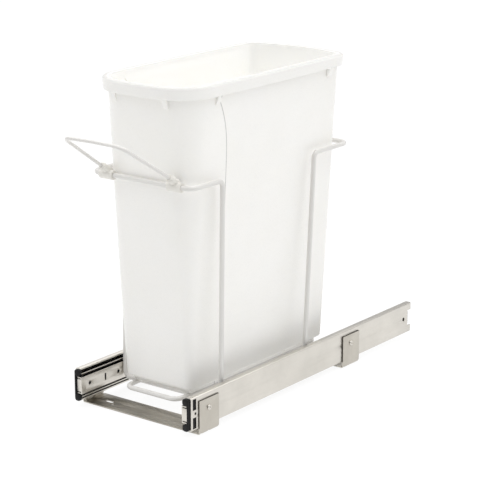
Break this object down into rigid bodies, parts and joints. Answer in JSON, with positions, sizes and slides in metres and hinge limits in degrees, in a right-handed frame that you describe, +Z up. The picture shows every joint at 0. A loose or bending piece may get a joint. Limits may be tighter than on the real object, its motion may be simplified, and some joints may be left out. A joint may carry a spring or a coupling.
{
  "type": "pull out bin frame",
  "caption": "Cabinet pull-out frame: floor brackets, ball-bearing slides and a white wire carriage with a hinged handle that holds a tapered lift-out bin.",
  "frame": {"origin": "centre of the four floor slots, on the underside of the brackets", "axes": "+Z up from the cabinet floor, -Y the way the bin pulls out, +X to the right seen from the front"},
  "size_m": [0.2008, 0.578, 0.4383],
  "materials": {
    "zinc_steel": "satin",
    "bright_steel": "polished",
    "black_plastic": "matte",
    "black_rubber": "matte",
    "white_coat": "satin",
    "white_plastic": "satin",
    "bin_plastic": "satin"
  },
  "bodies": {
    "base": {"front_bracket": "zinc_steel", "rear_bracket": "zinc_steel", "bracket_rivets": "bright_steel", "outer_member_right": "zinc_steel", "outer_member_left": "zinc_steel", "rear_bumper_right": "black_rubber", "rear_bumper_left": "black_rubber"},
    "outer_cages": {"outer_cage_right": "black_plastic", "outer_cage_left": "black_plastic", "outer_balls_right": "bright_steel", "outer_balls_left": "bright_steel"},
    "intermediates": {"intermediate_right": "zinc_steel", "intermediate_left": "zinc_steel", "front_bumper_right": "black_plastic", "front_bumper_left": "black_plastic"},
    "inner_cages": {"inner_cage_right": "black_plastic", "inner_cage_left": "black_plastic", "inner_balls_right": "bright_steel", "inner_balls_left": "bright_steel"},
    "carriage": {"inner_member_right": "zinc_steel", "inner_member_left": "zinc_steel", "front_hoop": "white_coat", "rear_hoop": "white_coat", "bottom_loop": "white_coat", "front_tab_right": "zinc_steel", "front_tab_left": "zinc_steel", "rear_tab_right": "zinc_steel", "rear_tab_left": "zinc_steel", "tab_screws": "bright_steel"},
    "handle": {"handle_wire": "white_coat", "handle_clip_right": "white_plastic", "handle_clip_left": "white_plastic"},
    "bin": {"bin": "bin_plastic"}
  },
  "joints": [
    {"name": "pull_out", "type": "slide", "parent": "base", "child": "carriage", "axis": [0, -1, 0], "range_m": [0, 0.5]},
    {"name": "intermediate_run", "type": "slide", "parent": "base", "child": "intermediates", "axis": [0, -1, 0], "range_m": [0, 0.25]},
    {"name": "outer_cage_run", "type": "slide", "parent": "base", "child": "outer_cages", "axis": [0, -1, 0], "range_m": [0, 0.125]},
    {"name": "inner_cage_run", "type": "slide", "parent": "base", "child": "inner_cages", "axis": [0, -1, 0], "range_m": [0, 0.375]},
    {"name": "handle_swing", "type": "hinge", "parent": "carriage", "child": "handle", "pos_m": [0, -0.169, 0.3145], "axis": [1, 0, 0], "range_deg": [-45, 115]},
    {"name": "bin_lift", "type": "slide", "parent": "carriage", "child": "bin", "axis": [0, 0, 1], "range_m": [0, 0.3]}
  ],
  "couplings": [
    {"joint": "intermediate_run", "follows": "pull_out", "ratio": 0.5},
    {"joint": "outer_cage_run", "follows": "pull_out", "ratio": 0.25},
    {"joint": "inner_cage_run", "follows": "pull_out", "ratio": 0.75}
  ]
}
